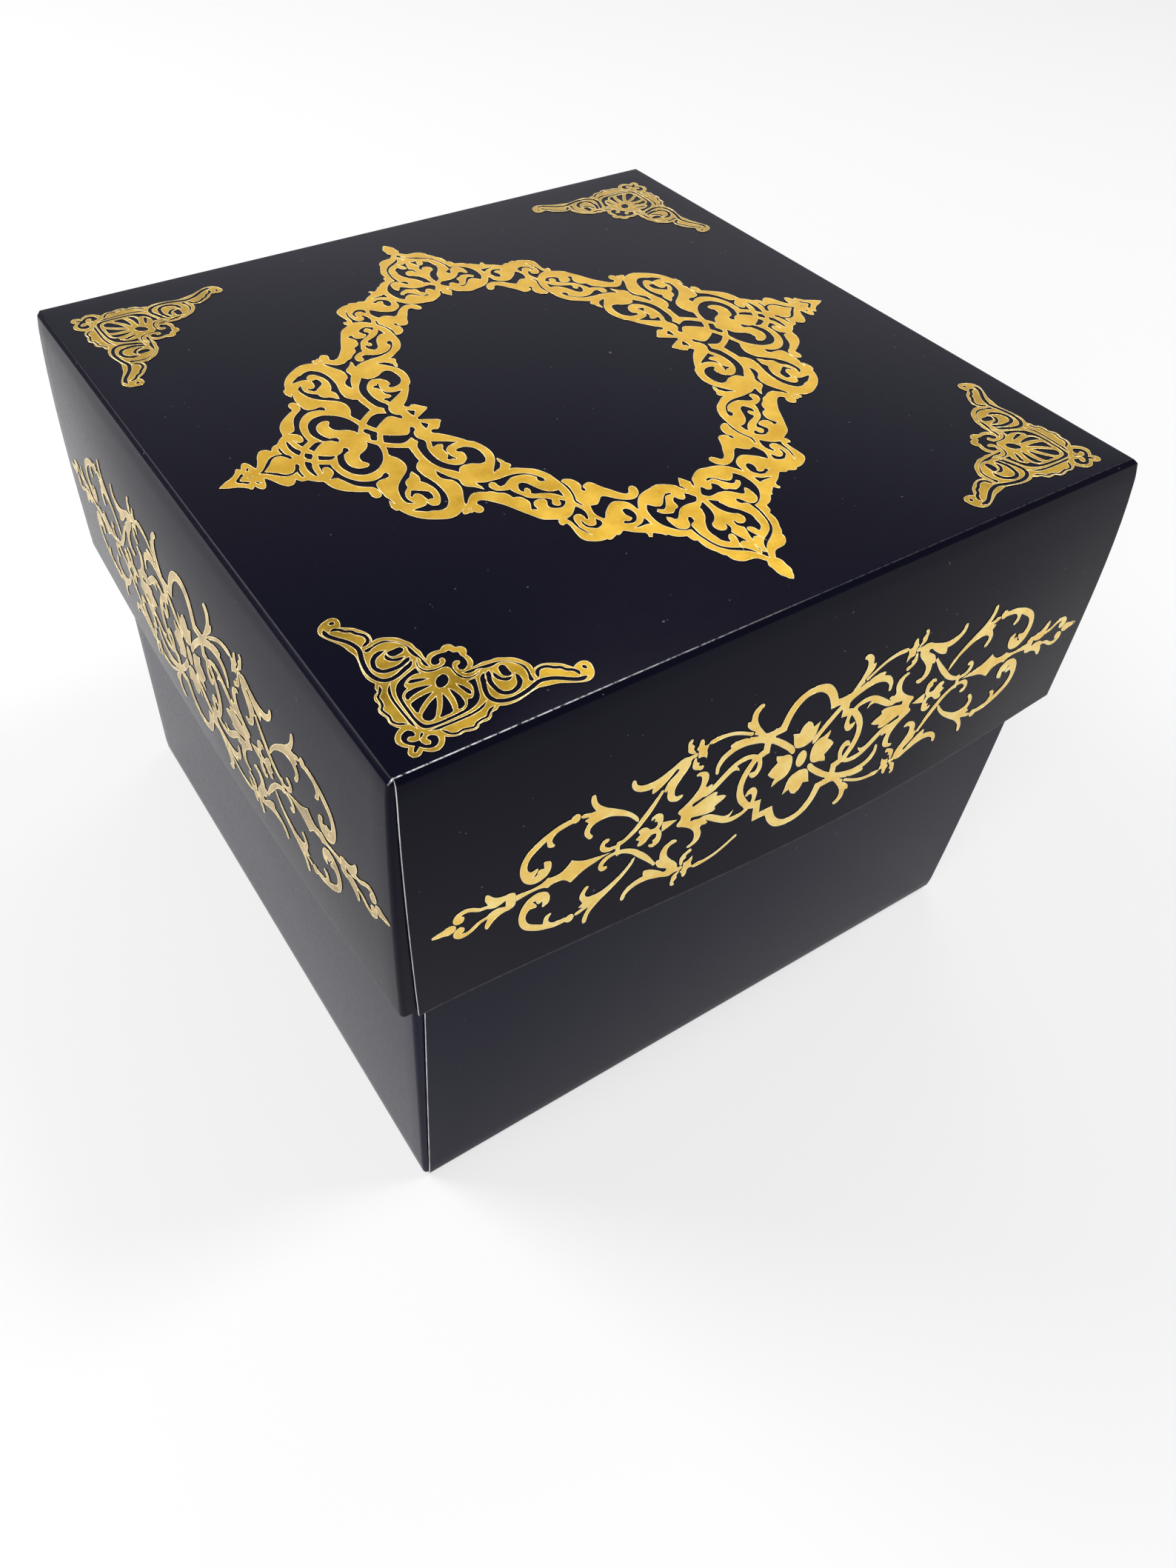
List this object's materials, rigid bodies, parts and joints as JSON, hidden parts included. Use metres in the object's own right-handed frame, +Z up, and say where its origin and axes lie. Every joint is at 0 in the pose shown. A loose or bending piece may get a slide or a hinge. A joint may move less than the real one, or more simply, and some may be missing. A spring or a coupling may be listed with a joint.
{
  "type": "gift box",
  "caption": "Square folding-carton gift box: a lift-off lid over a deep tray, dark glossy card with gold foil scrollwork.",
  "frame": {"origin": "middle of the surface the tray stands on", "axes": "+Z up, the way the lid lifts; -Y the front wall, whose ornament the picture shows best; -X the left wall"},
  "size_m": [0.1824, 0.1896, 0.153],
  "materials": {
    "navy_card": "gloss",
    "gold_foil": "gloss"
  },
  "bodies": {
    "tray": {"base_bottom_panel": "navy_card", "base_front_wall": "navy_card", "base_right_wall": "navy_card", "base_back_wall": "navy_card", "base_left_wall": "navy_card", "base_front_left_glue_flap": "navy_card", "base_front_right_glue_flap": "navy_card", "base_back_left_glue_flap": "navy_card", "base_back_right_glue_flap": "navy_card"},
    "lid": {"lid_top_panel": "navy_card", "lid_front_wall": "navy_card", "lid_right_wall": "navy_card", "lid_back_wall": "navy_card", "lid_left_wall": "navy_card", "lid_front_left_glue_flap": "navy_card", "lid_front_right_glue_flap": "navy_card", "lid_back_left_glue_flap": "navy_card", "lid_back_right_glue_flap": "navy_card", "foil_medallion": "gold_foil", "foil_front_left_corner": "gold_foil", "foil_front_right_corner": "gold_foil", "foil_back_right_corner": "gold_foil", "foil_back_left_corner": "gold_foil", "foil_front_wall": "gold_foil", "foil_right_wall": "gold_foil", "foil_back_wall": "gold_foil", "foil_left_wall": "gold_foil"}
  },
  "joints": [
    {"name": "lid_lift", "type": "slide", "parent": "tray", "child": "lid", "axis": [0, 0, 1], "range_m": [0, 0.1]}
  ]
}
